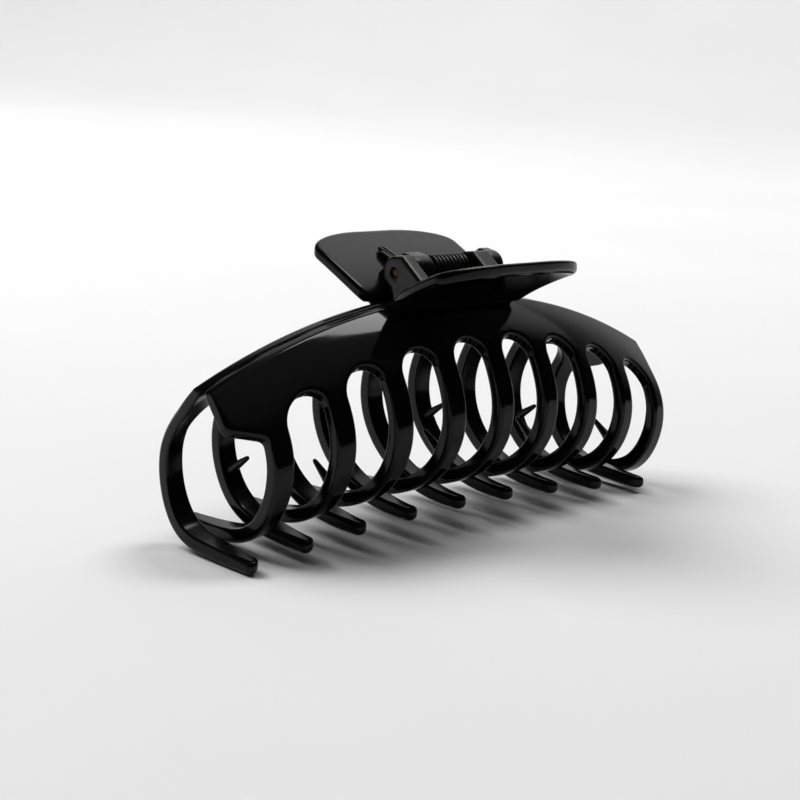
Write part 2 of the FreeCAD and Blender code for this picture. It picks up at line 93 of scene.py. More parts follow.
class Skin:
    """The jaw's curved skin: (x, arc length below the top edge, depth) to a point."""

    def __init__(self):
        self.cache = {}

    def curve(self, x):
        key = round(float(x), 4)
        if key not in self.cache:
            e = (x / END) ** 2
            ys, zs = CTRL_Y + CTRL_DY * e, CTRL_Z + CTRL_DZ * e
            zs = zs.copy()
            zs[0] += -0.48 * e * e
            y, z, dy, dz = FINE_V @ ys, FINE_V @ zs, FINE_D @ ys, FINE_D @ zs
            size = np.hypot(dy, dz)
            ny, nz = -dz / size, dy / size
            arc = np.concatenate([[0], np.cumsum(np.hypot(np.diff(y), np.diff(z)))])
            self.cache[key] = (y, z, ny, nz, arc, dy / size, dz / size)
        return self.cache[key]

    def length(self, x):
        return self.curve(x)[4][-1]

    def place(self, x, s, depth):
        """depth 0 is the outer skin, 1 the inner one."""
        y, z, ny, nz, arc, ty, tz = self.curve(x)
        u = float(np.interp(s, arc, FINE))
        t = TOP_T + (MID_T - TOP_T) * u / 0.42 if u < 0.42 else MID_T + (TIP_T - MID_T) * (u - 0.42) / 0.58
        px, pz = float(np.interp(s, arc, y)), float(np.interp(s, arc, z))
        a, b = float(np.interp(s, arc, ny)), float(np.interp(s, arc, nz))
        blend = min(1.0, u / 0.10)
        a, b = a * blend + (1 - blend), b * blend
        size = math.hypot(a, b)
        extra = s - arc[-1]
        if extra > 0:
            px += ty[-1] * extra
            pz += tz[-1] * extra
        return (x, px + a / size * t * depth, pz + b / size * t * depth), t


SKIN = Skin()


def slot_depth(xc):
    return 11.23 - 1.55 * (xc / END) ** 2


# ------------------------------------------------------------------ mesh helpers
def new_object(name, verts, faces, mats, face_mats=None, smooth=True, merge=0.002):
    """Mesh object from millimetre points. Doubles closer than merge are joined."""
    import bmesh
    mesh = bpy.data.meshes.new(name)
    mesh.from_pydata([(v[0] * MM, v[1] * MM, v[2] * MM) for v in verts], [], faces)
    for m in mats:
        mesh.materials.append(m)
    if face_mats is not None:
        mesh.polygons.foreach_set("material_index", np.array(face_mats, np.int32))
    bm = bmesh.new()
    bm.from_mesh(mesh)
    bmesh.ops.remove_doubles(bm, verts=bm.verts, dist=merge * MM)
    bmesh.ops.dissolve_degenerate(bm, dist=merge * MM * 0.5, edges=bm.edges)
    bmesh.ops.recalc_face_normals(bm, faces=bm.faces)
    for f in bm.faces:
        f.smooth = smooth
    bm.to_mesh(mesh)
    bm.free()
    obj = bpy.data.objects.new(name, mesh)
    bpy.context.scene.collection.objects.link(obj)
    return obj


class Build:
    def __init__(self):
        self.v, self.f, self.m = [], [], []

    def add(self, p):
        self.v.append(tuple(float(c) for c in p))
        return len(self.v) - 1

    def quad(self, a, b, c, d, mat=0):
        q = [a, b, c, d]
        out = []
        for k in q:
            if k not in out:
                out.append(k)
        if len(out) >= 3:
            self.f.append(out)
            self.m.append(mat)

    def grid(self, rows, mat=0, closed=False):
        n = len(rows[0])
        for a, b in zip(rows, rows[1:]):
            for i in range(n if closed else n - 1):
                j = (i + 1) % n
                self.quad(a[i], a[j], b[j], b[i], mat)


def rim_layers(rho, thick, arc=6, flat=4, under=None):
    """(inset from the edge, depth below the outer skin) going round a rounded edge."""
    low = rho if under is None else under
    out = []
    for i in range(arc + 1):
        a = math.pi / 2 * i / arc
        out.append((rho * (1 - math.sin(a)), rho * (1 - math.cos(a))))
    for i in range(1, flat):
        out.append((0.0, rho + (thick - rho - low) * i / flat))
    for i in range(arc + 1):
        a = math.pi / 2 * (1 - i / arc)
        out.append((low * (1 - math.sin(a)), thick - low * (1 - math.cos(a))))
    return out


ARC, FLAT = 6, 4


END_DEPTH, END_SLOPE, END_R = 10.50, 0.86, 3.0      # slanted lower edge at the panel's end and its fillet
END_SIZE = math.hypot(1.0, END_SLOPE)
TOOTH_X = -3.75 * P - W / 2
END_PATH_S = END_DEPTH + ((TOOTH_X - END_R + END) * END_SLOPE / END_SIZE + END_R) * END_SIZE


def end_path(f, d):
    """Point (x, s) at fraction f along the slanted edge and its fillet into the first tooth, inset by d."""
    nx, ns = END_SLOPE / END_SIZE, -1.0 / END_SIZE
    cx, cs = TOOTH_X - END_R, END_PATH_S
    ax, as_ = -END, END_DEPTH - d * END_SIZE
    tx, ts = cx + (END_R + d) * nx, cs + (END_R + d) * ns
    turn = math.atan2(ns, nx)
    if f < 0.5:
        return ax + (tx - ax) * f / 0.5, as_ + (ts - as_) * f / 0.5
    a = turn * (1 - (f - 0.5) / 0.5)
    return cx + (END_R + d) * math.cos(a), cs + (END_R + d) * math.sin(a)


def jaw_skin_mesh(b):
    """Panel and nine teeth of the front jaw as one closed, round-edged skin."""
    n_panel, n_arc, n_tooth, n_tip, n_q = 12, 14, 70, 9, 12

    def column(k, d, rho):
        """Boundary rows of column k for an inset d: list of (sL, xL, sR, xR), and the column's total length."""
        xk = (-3.75 + k) * P
        left_c, right_c = xk - P / 2, xk + P / 2
        apex_l = slot_depth(left_c) if k > 0 else END_DEPTH
        start_l = apex_l + GAP if k > 0 else END_PATH_S
        apex_r = slot_depth(right_c) if k < 8 else apex_l
        total = SKIN.length(xk) + TIP_T * 0.5
        y_curve = SKIN.curve(xk)
        taper_s = float(np.interp(TAPER_Y, y_curve[0][200:], y_curve[4][200:]))
        rows = []
        for i in range(n_panel + 1):
            f = i / n_panel
            drop = d if k > 0 else d * END_SIZE
            sl, sr = d + (apex_l - drop - d) * f, d + (apex_r - 2 * d) * f
            rows.append((sl, left_c, sr, right_c if k < 8 else HALF - d))
        for i in range(1, n_arc + 1):
            a = math.pi / 2 * i / n_arc
            sl = apex_l + GAP - (GAP + d) * math.cos(a)
            sr = apex_r + GAP - (GAP + d) * math.cos(a)
            xl = left_c + (GAP + d) * math.sin(a)
            if k == 0:
                xl, sl = end_path(i / n_arc, d)
            xr = right_c - (GAP + d) * math.sin(a) if k < 8 else HALF - d
            rows.append((sl, xl, sr, xr))
        s0, s1 = max(apex_l, apex_r) + GAP, total - WT / 2
        for i in range(1, n_tooth + 1):
            f = i / n_tooth
            sl = start_l * (1 - f) + s1 * f
            sr = (apex_r + GAP) * (1 - f) + s1 * f
            s = 0.5 * (sl + sr)
            h = W / 2 + (WT / 2 - W / 2) * max(0.0, (s - taper_s) / (s1 - taper_s)) - d
            rows.append((sl, xk - h, sr, xk + h))
        for i in range(1, n_tip + 1):
            a = math.pi / 2 * i / n_tip
            h = (WT / 2 - d) * math.cos(a)
            s = s1 + (WT / 2 - d) * math.sin(a)
            rows.append((s, xk - h, s, xk + h))
        return rows, total

    def rho_at(s, total):
        """Outer edges: small along the top, well rounded round the gaps, rounder still at the tips."""
        low = min(1.0, max(0.0, (s - 3.0) / 6.0))
        low = 0.45 + 0.50 * low * low * (3 - 2 * low)
        return low + 0.25 * min(1.0, max(0.0, (s - (total - 9.0)) / 7.0)) ** 1.5

    def under_at(s, total):
        """Inner edges."""
        return 0.45 + 0.55 * min(1.0, max(0.0, (s - (total - 12.0)) / 9.0)) ** 1.5

    for k in range(9):
        n_rows = n_panel + n_arc + n_tooth + n_tip + 1
        base, total = column(k, 0.0, 0.4)
        rhos = [rho_at(0.5 * (r[0] + r[2]), total) for r in base]
        unders = [under_at(0.5 * (r[0] + r[2]), total) for r in base]
        cache = {}

        def row_for(i, d):
            key = round(d, 6)
            if key not in cache:
                cache[key] = column(k, d, 0.4)[0]
            return cache[key][i]

        outer, inner = [], []
        for i in range(n_rows):
            rho = rhos[i]
            sl, xl, sr, xr = row_for(i, rho)
            ul, vl, ur, vr = row_for(i, unders[i])
            ro, ri = [], []
            for q in range(n_q + 1):
                f = q / n_q
                ro.append(b.add(SKIN.place(xl + (xr - xl) * f, sl + (sr - sl) * f, 0.0)[0]))
                ri.append(b.add(SKIN.place(vl + (vr - vl) * f, ul + (ur - ul) * f, 1.0)[0]))
            outer.append(ro)
            inner.append(ri)
        b.grid(outer, 0)
        b.grid([r[::-1] for r in inner], 1)

        def rim(indices, pick):
            """Rounded edge along a run of boundary points."""
            strips = []
            for i, side in indices:
                rho = rhos[i]
                ring = []
                s_mid = 0.5 * (row_for(i, 0.0)[0] + row_for(i, 0.0)[2])
                thick = SKIN.place((-3.75 + k) * P, s_mid, 0.0)[1]
                for d, depth in rim_layers(rho, thick, ARC, FLAT, unders[i]):
                    x, s = pick(i, side, d)
                    ring.append(b.add(SKIN.place(x, s, depth / thick)[0]))
                strips.append(ring)
            b.grid(strips, 2)

        # slot edges and tooth sides, down to the tip
        first = n_panel

        def pick_left(i, side, d):
            r = row_for(i, d)
            return r[1], r[0]

        def pick_right(i, side, d):
            r = row_for(i, d)
            return r[3], r[2]

        rim([(i, 0) for i in range(first, n_rows)], pick_left)
        rim([(i, 1) for i in range(first if k < 8 else 0, n_rows)], pick_right)

        # top edge
        def pick_top(q, side, d):
            r = row_for(0, d)
            f = q / n_q
            return r[1] + (r[3] - r[1]) * f, r[0] + (r[2] - r[0]) * f

        strips = []
        for q in range(n_q + 1):
            ring = []
            for d, depth in rim_layers(rhos[0], TOP_T, ARC, FLAT, unders[0]):
                x, s = pick_top(q, 0, d)
                ring.append(b.add(SKIN.place(x, s, depth / TOP_T)[0]))
            strips.append(ring)
        b.grid(strips, 2)

    # the short end of the panel beyond the first tooth, with a slanted lower edge
    xc = -END
    n_e = 8
    corner = 1.5

    def end_point(i, q, d):
        left = -HALF + d
        x = left + (xc - left) * (q / n_e) ** 1.5
        low = END_DEPTH + END_SLOPE * (x - xc) - d * END_SIZE
        off = x - left
        if off < corner:
            low -= (corner - math.sqrt(max(corner ** 2 - (corner - off) ** 2, 0.0))) * 0.9
        return x, d + (low - d) * i / n_panel

    top_r = [rho_at((END_DEPTH - 1.0) * i / n_panel, 99.0) for i in range(n_panel + 1)]
    outer = [[b.add(SKIN.place(*end_point(i, q, top_r[i]), 0.0)[0]) for q in range(n_e + 1)] for i in range(n_panel + 1)]
    inner = [[b.add(SKIN.place(*end_point(i, q, 0.45), 1.0)[0]) for q in range(n_e + 1)] for i in range(n_panel + 1)]
    b.grid(outer, 0)
    b.grid([r[::-1] for r in inner], 1)
    for run in ([(i, 0) for i in range(n_panel + 1)], [(n_panel, q) for q in range(n_e + 1)], [(0, q) for q in range(n_e + 1)]):
        strips = []
        for i, q in run:
            ring = []
            x0, s0 = end_point(i, q, 0.0)
            thick = SKIN.place(x0, s0, 0.0)[1]
            for d, depth in rim_layers(top_r[i], thick, ARC, FLAT, 0.45):
                x, s = end_point(i, q, d)
                ring.append(b.add(SKIN.place(x, s, depth / thick)[0]))
            strips.append(ring)
        b.grid(strips, 2)


# ------------------------------------------------------------------ thumb tab
TAB_Y, TAB_Z, TAB_T = np.array([-3.64, -8.39, -24.60]), np.array([28.20, 33.58, 41.00]) + Z0, 2.5
TAB_H = np.array([16.93, 19.54, 20.88, 21.05])
TAB_S = math.hypot(TAB_Y[2] - TAB_Y[0], TAB_Z[2] - TAB_Z[0])
TAB_C, TAB_CR, S_LOW = 16.0, 4.0, -0.10


def tab_place(x, s, depth):
    s -= depth * 0.0100 * min(1.0, max(0.0, (s - 0.3) / 0.7)) ** 2      # the end is cut upright
    w = np.array([2 * (s - 0.5) * (s - 1), -4 * s * (s - 1), 2 * s * (s - 0.5)])
    d = np.array([4 * s - 3, 4 - 8 * s, 4 * s - 1])
    ty, tz = TAB_Y @ d, TAB_Z @ d
    size = math.hypot(ty, tz)
    ty, tz = ty / size, tz / size
    y, z = TAB_Y @ w - depth * tz, TAB_Z @ w + depth * ty
    return (x, y, z)


def tab_mesh(b):
    rows_v, _ = spline_rows(np.array([0, 1 / 3, 2 / 3, 1.0]), np.linspace(0, 1, 101))
    half = rows_v @ TAB_H
    n_side, n_cor, n_q, rho = 30, 26, 48, 0.85
    s_c = 1 - TAB_CR / TAB_S
    hc = float(np.interp(s_c, np.linspace(0, 1, 101), half))

    def row(i, d):
        if i <= n_side:
            s = S_LOW + (s_c - S_LOW) * i / n_side
            return s, float(np.interp(max(s, 0), np.linspace(0, 1, 101), half)) - d
        a = math.pi / 2 * (i - n_side) / n_cor
        return s_c + (TAB_CR - d) / TAB_S * math.sin(a), hc - TAB_C + (TAB_C - d) * math.cos(a)

    n = n_side + n_cor
    top, low = [], []
    for i in range(n + 1):
        s, h = row(i, rho)
        top.append([b.add(tab_place(-h + 2 * h * q / n_q, s, 0.0)) for q in range(n_q + 1)])
        low.append([b.add(tab_place(-h + 2 * h * q / n_q, s, TAB_T)) for q in range(n_q + 1)])
    b.grid(top, 1)
    b.grid([r[::-1] for r in low], 0)
    runs = [[(i, 0) for i in range(n + 1)], [(i, n_q) for i in range(n + 1)], [(n, q) for q in range(n_q + 1)]]
    for run in runs:
        strips = []
        for i, q in run:
            ring = []
            for d, depth in rim_layers(rho, TAB_T, ARC, 2):
                s, h = row(i, d)
                ring.append(b.add(tab_place(-h + 2 * h * q / n_q, s, depth)))
            strips.append(ring)
        b.grid(strips, 2)
    first = [top[0], low[0]]
    for q in range(n_q):
        b.quad(first[0][q], first[0][q + 1], first[1][q + 1], first[1][q], 2)


# ------------------------------------------------------------------ ears, coil boss, leg seat, thorns
EAR = [(0.0, 3.5), (-1.9, 3.8), (-9.6, -1.7), (-9.3, -3.2), (-4.2, 27.5 - 35.6), (-2.7, 26.5 - 35.6),
       (-0.7, 28.2 - 35.6), (0.9, -3.38), (1.6, -2.2)]


def ear_outline(count=160):
    """Outline of an ear in polar form about the pin, with softened corners."""
    poly = np.array(EAR)
    radii = []
    for i in range(count):
        a = 2 * math.pi * i / count
        d = np.array([math.cos(a), math.sin(a)])
        best = 3.5
        for p, q in zip(poly, np.roll(poly, -1, axis=0)):
            e = q - p
            det = d[0] * -e[1] + d[1] * e[0]
            if abs(det) < 1e-9:
                continue
            t = (p[0] * -e[1] + p[1] * e[0]) / det
            u = (d[0] * p[1] - d[1] * p[0]) / det
            if t > 0 and 0 <= u <= 1:
                best = max(best, t)
        radii.append(best)
    radii = np.array(radii)
    kernel = np.array([1, 2, 3, 2, 1.0]) / 9
    radii = sum(np.roll(radii, k - 2) * kernel[k] for k in range(5))
    a = 2 * np.pi * np.arange(count) / count
    pts = np.stack([np.cos(a) * radii, np.sin(a) * radii], 1)
    tangent = np.roll(pts, -1, 0) - np.roll(pts, 1, 0)
    tangent /= np.linalg.norm(tangent, axis=1)[:, None]
    inward = np.stack([-tangent[:, 1], tangent[:, 0]], 1)
    return pts, inward


def ear_mesh(b, x0, x1, bore=1.05, rho=0.4):
    pts, inward = ear_outline()
    n = len(pts)
    ring_dir = pts / np.linalg.norm(pts, axis=1)[:, None]
    rows = []
    # from the bore's edge at x0, over the face, round the rim, and back to the bore at x1
    chamfer = 0.18
    inner = [(x0 + chamfer, bore), (x0 + chamfer * 0.35, bore + chamfer * 0.35), (x0, bore + chamfer)]
    for x, r in inner:
        rows.append([b.add((x, r * u[0], PIN_Z + r * u[1])) for u in ring_dir])
    for f in (0.2, 0.45, 0.7, 0.88):
        edge = pts + inward * rho
        mix = ring_dir * (bore + chamfer) * (1 - f) + edge * f
        rows.append([b.add((x0, m[0], PIN_Z + m[1])) for m in mix])
    for d, depth in rim_layers(rho, x1 - x0, 5, 3):
        edge = pts + inward * d
        rows.append([b.add((x0 + depth, m[0], PIN_Z + m[1])) for m in edge])
    for f in (0.88, 0.7, 0.45, 0.2):
        edge = pts + inward * rho
        mix = ring_dir * (bore + chamfer) * (1 - f) + edge * f
        rows.append([b.add((x1, m[0], PIN_Z + m[1])) for m in mix])
    for x, r in [(x1 - (x - x0), r) for x, r in inner[::-1]]:
        rows.append([b.add((x, r * u[0], PIN_Z + r * u[1])) for u in ring_dir])
    rows.append(rows[0])
    b.grid(rows, 3, closed=True)


def lathe(b, profile, mat, sides=40, centre=(0, PIN_Z)):
    """profile: (x, radius) points turned about the pin's axis."""
    rows = []
    for x, r in profile:
        if r < 1e-6:
            c = b.add((x, centre[0], centre[1]))
            rows.append([c] * sides)
        else:
            rows.append([b.add((x, centre[0] + r * math.cos(2 * math.pi * i / sides), centre[1] + r * math.sin(2 * math.pi * i / sides))) for i in range(sides)])
    b.grid(rows, mat, closed=True)


LEG_X, COIL_R, WIRE_R = 4.95, 2.85, 0.45
LEG_A = math.radians(180 - 19.0)
LEG_DIR = np.array([math.cos(LEG_A), math.sin(LEG_A)])
LEG_SIDE = np.array([LEG_DIR[1], -LEG_DIR[0]])
LEG_SIDE = -LEG_SIDE if LEG_SIDE[1] > 0 else LEG_SIDE


def leg_point(s, lift):
    q = LEG_SIDE * COIL_R + LEG_DIR * s - LEG_SIDE * lift
    return q[0], q[1] + PIN_Z


def bar(b, x0, x1, line, mat, rho=0.22):
    """Round-edged bar: line is a list of (y, z top, y, z bottom) stations along its length."""
    rows = []
    for (ty, tz), (by, bz) in line:
        ring = []
        span = math.hypot(ty - by, tz - bz)
        uy, uz = (ty - by) / span, (tz - bz) / span
        prof = [(x0, 0.0)]
        for i in range(5):
            a = math.pi / 2 * i / 4
            prof.append((x0 + rho * (1 - math.cos(a)), span - rho * (1 - math.sin(a))))
        for i in range(5):
            a = math.pi / 2 * (1 - i / 4)
            prof.append((x1 - rho * (1 - math.cos(a)), span - rho * (1 - math.sin(a))))
        prof.append((x1, 0.0))
        for x, up in prof:
            ring.append(b.add((x, by + uy * up, bz + uz * up)))
        rows.append(ring)
    b.grid(rows, mat, closed=True)
    for ring in (rows[0], rows[-1]):
        b.f.append(list(ring))
        b.m.append(mat)


def seat_mesh(b):
    floor = -WIRE_R - 0.06

    def stations(s0, s1, top, round_over):
        line = []
        for i in range(15):
            f = i / 14
            s = s0 + (s1 - s0) * f
            edge = max(0.0, (s - (s1 - round_over)) / round_over)
            lift = top - (1 - math.sqrt(max(0.0, 1 - edge ** 2))) * 1.6
            line.append((leg_point(s, lift), leg_point(s, min(lift - 0.6, floor - 3.0 + 1.8 * f))))
        return line

    bar(b, LEG_X - 1.55, LEG_X + 1.55, stations(5.2, 15.8, floor, 1.0), 3, 0.12)
    bar(b, LEG_X - 1.6, LEG_X - 0.6, stations(5.8, 17.0, floor + 1.0, 1.6), 3, 0.3)
    bar(b, LEG_X + 0.6, LEG_X + 1.6, stations(5.8, 14.9, floor + 1.0, 1.6), 3, 0.3)


def thorn_mesh(b, k):
    xk = (-3.75 + k) * P
    y, z, ny, nz, arc, _, _ = SKIN.curve(xk)
    want = 8.18 - 8.12 * (xk / END) ** 2 + Z0 - 9.0
    u = 0.42
    t = MID_T + (TIP_T - MID_T) * (np.clip(FINE, 0.42, 1) - 0.42) / 0.58
    iy, iz = y + ny * t, z + nz * t
    j = 130 + int(np.argmin(np.abs(iz[130:300] - want)))
    n = np.array([math.cos(math.radians(35)), math.sin(math.radians(35))])
    side = np.array([-n[1], n[0]])
    base = np.array([iy[j], iz[j]])
    rows = []
    stations = [(-1.5, 1.45), (-0.4, 1.42), (0.2, 1.25), (0.9, 1.08), (2.0, 0.92), (4.0, 0.72), (5.6, 0.56), (6.2, 0.44), (6.45, 0.26), (6.55, 0.0)]
    for run, r in stations:
        c = base + n * run
        if r == 0:
            v = b.add((xk, c[0], c[1]))
            rows.append([v] * 20)
            continue
        rows.append([b.add((xk + r * math.cos(a), *(c + side * r * math.sin(a)))) for a in [2 * math.pi * i / 20 for i in range(20)]])
    b.grid(rows, 3, closed=True)


# ------------------------------------------------------------------ materials
def nodes_of(mat):
    mat.use_nodes = True
    tree = mat.node_tree
    return tree, tree.nodes["Principled BSDF"]


def noise(tree, scale, detail=3.0, rough=0.5, stretch=None):
    coord = tree.nodes.new("ShaderNodeTexCoord")
    source = coord.outputs["Object"]
    if stretch:
        mapping = tree.nodes.new("ShaderNodeMapping")
        mapping.inputs["Scale"].default_value = stretch
        tree.links.new(source, mapping.inputs["Vector"])
        source = mapping.outputs["Vector"]
    n = tree.nodes.new("ShaderNodeTexNoise")
    n.inputs["Scale"].default_value = scale
    n.inputs["Detail"].default_value = detail
    n.inputs["Roughness"].default_value = rough
    tree.links.new(source, n.inputs["Vector"])
    return n.outputs["Fac"]


def ramp(tree, fac, stops):
    r = tree.nodes.new("ShaderNodeValToRGB")
    while len(r.color_ramp.elements) < len(stops):
        r.color_ramp.elements.new(0.5)
    for e, (pos, c) in zip(r.color_ramp.elements, stops):
        e.position = pos
        e.color = (c, c, c, 1) if not isinstance(c, tuple) else (*c, 1)
    tree.links.new(fac, r.inputs["Fac"])
    return r.outputs["Color"]


def bump(tree, bsdf, heights):
    """heights: list of (socket, strength, distance)."""
    last = None
    for socket, strength, distance in heights:
        n = tree.nodes.new("ShaderNodeBump")
        n.inputs["Strength"].default_value = strength
        n.inputs["Distance"].default_value = distance
        tree.links.new(socket, n.inputs["Height"])
        if last is not None:
            tree.links.new(last, n.inputs["Normal"])
        last = n.outputs["Normal"]
    tree.links.new(last, bsdf.inputs["Normal"])


def plastic(name, dark, light, rough_lo, rough_hi, spec, grain, wave):
    mat = bpy.data.materials.new(name)
    tree, bsdf = nodes_of(mat)
    cloud = noise(tree, 55.0, 3.0)
    tree.links.new(ramp(tree, cloud, [(0.3, dark), (0.7, light)]), bsdf.inputs["Base Color"])
    wipe = noise(tree, 420.0, 5.0, 0.6, (0.35, 1.0, 1.0))
    tree.links.new(ramp(tree, wipe, [(0.35, rough_lo), (0.75, rough_hi)]), bsdf.inputs["Roughness"])
    bsdf.inputs["Specular IOR Level"].default_value = spec
    fine = noise(tree, 2600.0, 2.0)
    slow = noise(tree, 38.0, 1.0)
    bump(tree, bsdf, [(slow, 0.35, wave), (fine, 0.25, grain)])
    return mat


GLOSS = plastic("gloss_black", (0.0012, 0.0012, 0.0012), (0.0026, 0.0026, 0.0024), 0.070, 0.110, 0.16, 0.000003, 0.00004)
INNER = plastic("satin_black", (0.0020, 0.0020, 0.0018), (0.0040, 0.0040, 0.0036), 0.15, 0.22, 0.20, 0.000004, 0.00004)
EDGE = plastic("edge_black", (0.0012, 0.0012, 0.0012), (0.0026, 0.0026, 0.0024), 0.080, 0.120, 0.18, 0.000003, 0.00002)
EAR_M = plastic("ear_black", (0.0030, 0.0030, 0.0024), (0.0060, 0.0058, 0.0046), 0.22, 0.32, 0.26, 0.000006, 0.00002)


def wire_material():
    mat = bpy.data.materials.new("spring_wire")
    tree, bsdf = nodes_of(mat)
    spots = noise(tree, 900.0, 4.0)
    tree.links.new(ramp(tree, spots, [(0.35, (0.018, 0.018, 0.018)), (0.7, (0.048, 0.047, 0.044))]), bsdf.inputs["Base Color"])
    bsdf.inputs["Metallic"].default_value = 0.85
    draw = noise(tree, 1500.0, 3.0, 0.6, (0.2, 1.0, 1.0))
    tree.links.new(ramp(tree, draw, [(0.3, 0.24), (0.8, 0.42)]), bsdf.inputs["Roughness"])
    bump(tree, bsdf, [(draw, 0.3, 0.00001)])
    return mat


def pin_material():
    mat = bpy.data.materials.new("pin_bronze")
    tree, bsdf = nodes_of(mat)
    tone = noise(tree, 1800.0, 4.0)
    tree.links.new(ramp(tree, tone, [(0.3, (0.030, 0.015, 0.007)), (0.75, (0.105, 0.058, 0.028))]), bsdf.inputs["Base Color"])
    bsdf.inputs["Metallic"].default_value = 0.75
    scratch = noise(tree, 3000.0, 3.0, 0.6, (1.0, 0.15, 1.0))
    tree.links.new(ramp(tree, scratch, [(0.3, 0.32), (0.8, 0.55)]), bsdf.inputs["Roughness"])
    bump(tree, bsdf, [(scratch, 0.4, 0.00002)])
    return mat


WIRE, PIN_M = wire_material(), pin_material()
MATS = [GLOSS, INNER, EDGE, EAR_M]

# ------------------------------------------------------------------ the two jaws
b = Build()
jaw_skin_mesh(b)
tab_mesh(b)
ear_mesh(b, -15.25, -11.6, rho=0.75)
ear_mesh(b, 6.10, 11.2, rho=0.55)
lathe(b, [(6.6, 1.1), (4.95, 1.1), (4.82, 1.2), (4.80, 1.9), (4.88, 2.05), (5.05, 2.1), (6.6, 2.1)], 3)
seat_mesh(b)
for k in (1, 3, 5, 7):
    thorn_mesh(b, k)
front = new_object("front_jaw_shell", b.v, b.f, MATS, b.m)
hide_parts("front_jaw")
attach(front, "front")

turned = [(-x, -y, z) for x, y, z in b.v]
rear = new_object("rear_jaw_shell", turned, b.f, MATS, b.m)
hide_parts("rear_jaw")
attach(rear, "rear")

# ------------------------------------------------------------------ hinge pin
b = Build()
L, R = 14.8, 1.0
lathe(b, [(-L, 0.0), (-L, 0.35), (-L, 0.62), (-L + 0.03, 0.78), (-L + 0.12, 0.93), (-L + 0.28, R), (-L + 0.6, R)]
      + [(x, R) for x in np.linspace(-13.5, 13.5, 15)]
      + [(L - 0.6, R), (L - 0.28, R), (L - 0.12, 0.93), (L - 0.03, 0.78), (L, 0.62), (L, 0.35), (L, 0.0)], 0, 48)
pin = new_object("hinge_pin_turned", b.v, b.f, [PIN_M], b.m, merge=0.0005)
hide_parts("hinge_pin")
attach(pin, "front")


# ------------------------------------------------------------------ torsion spring
def spring_path():
    half, turns, leg = 4.95, 9.5, 15.8
    side = LEG_SIDE
    a_one = math.atan2(side[1], side[0])
    a_two = math.atan2(side[1], -side[0])
    tangent = np.array([-math.sin(a_one), math.cos(a_one)])
    way = 1.0 if tangent @ LEG_DIR > 0 else -1.0
    span = a_one - a_two
    while way * span < (turns - 0.5) * 2 * math.pi:
        span += way * 2 * math.pi
    pts = []
    dir_two = np.array([-LEG_DIR[0], LEG_DIR[1]])
    start = np.array([-half, -side[0] * COIL_R, PIN_Z + side[1] * COIL_R])
    for s in np.linspace(leg, 0.4, 30):
        pts.append(start + np.array([0, dir_two[0], dir_two[1]]) * s)
    real = abs(span) / (2 * math.pi)
    pitch, ease = 2 * half / (real - 0.25), 0.25
    n = int(real * 48)
    for i in range(n + 1):
        f = i / n
        a = a_two + span * f
        t = real * f
        run = pitch * t * t / (2 * ease) if t < ease else (2 * half - pitch * (real - t) ** 2 / (2 * ease) if t > real - ease else pitch * (t - ease / 2))
        pts.append(np.array([-half + run, COIL_R * math.cos(a), PIN_Z + COIL_R * math.sin(a)]))
    end = np.array([half, side[0] * COIL_R, PIN_Z + side[1] * COIL_R])
    for s in np.linspace(0.4, leg, 30):
        pts.append(end + np.array([0, LEG_DIR[0], LEG_DIR[1]]) * s)
    return np.array(pts)


def tube(b, pts, radius, sides, mat):
    tangent = np.gradient(pts, axis=0)
    tangent /= np.linalg.norm(tangent, axis=1)[:, None]
    normal = np.cross(tangent[0], [1.0, 0, 0])
    normal /= np.linalg.norm(normal)
    rows = []
    for i, (p, t) in enumerate(zip(pts, tangent)):
        normal = normal - t * (normal @ t)
        normal /= np.linalg.norm(normal)
        bi = np.cross(t, normal)
        rows.append([b.add(p + radius * (math.cos(a) * normal + math.sin(a) * bi)) for a in [2 * math.pi * k / sides for k in range(sides)]])
    # rounded cut ends
    for end, sign in ((0, -1), (-1, 1)):
        p, t = pts[end], tangent[end]
        ring0 = np.array([b.v[k] for k in rows[end]]) - p
        cap = []
        for push, scale in ((0.08, 0.92), (0.14, 0.7), (0.17, 0.35)):
            cap.append([b.add(p + sign * t * push + r * scale) for r in ring0])
        tip = b.add(p + sign * t * 0.175)
        seq = [rows[end]] + cap + [[tip] * sides]
        b.grid(seq, mat, closed=True)
    b.grid(rows, mat, closed=True)


b = Build()
tube(b, spring_path(), WIRE_R, 14, 0)
spring = new_object("torsion_spring_wire", b.v, b.f, [WIRE], b.m, merge=0.0005)
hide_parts("torsion_spring")
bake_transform(spring)

# ------------------------------------------------------------------ stage, light, camera
floor_mesh = bpy.data.meshes.new("floor")
# flat to the front, rising in a wide curve behind the clip, square to the camera's direction
sweep = [(-6.0, 0.0), (-2.0, 0.0), (0.0, 0.0), (1.3, 0.0)]
sweep += [(1.3 + 0.8 * math.sin(math.radians(a)), 0.8 - 0.8 * math.cos(math.radians(a))) for a in range(5, 86, 5)]
sweep += [(2.12, 0.90), (2.17, 1.6)]
along_x, along_y = math.sin(math.radians(45.14)), math.cos(math.radians(45.14))
points, quads = [], []
for side in (-4.0, -1.5, 1.5, 4.0):
    points += [(r * along_x + side * along_y, r * along_y - side * along_x, z) for r, z in sweep]
n = len(sweep)
for j in range(3):
    quads += [(j * n + i, (j + 1) * n + i, (j + 1) * n + i + 1, j * n + i + 1) for i in range(n - 1)]
floor_mesh.from_pydata(points, [], quads)
for poly in floor_mesh.polygons:
    poly.use_smooth = True
floor = bpy.data.objects.new("floor", floor_mesh)
bpy.context.scene.collection.objects.link(floor)
floor_mat = bpy.data.materials.new("floor_pale")
tree, bsdf = nodes_of(floor_mat)
speck = noise(tree, 6.0, 2.0)
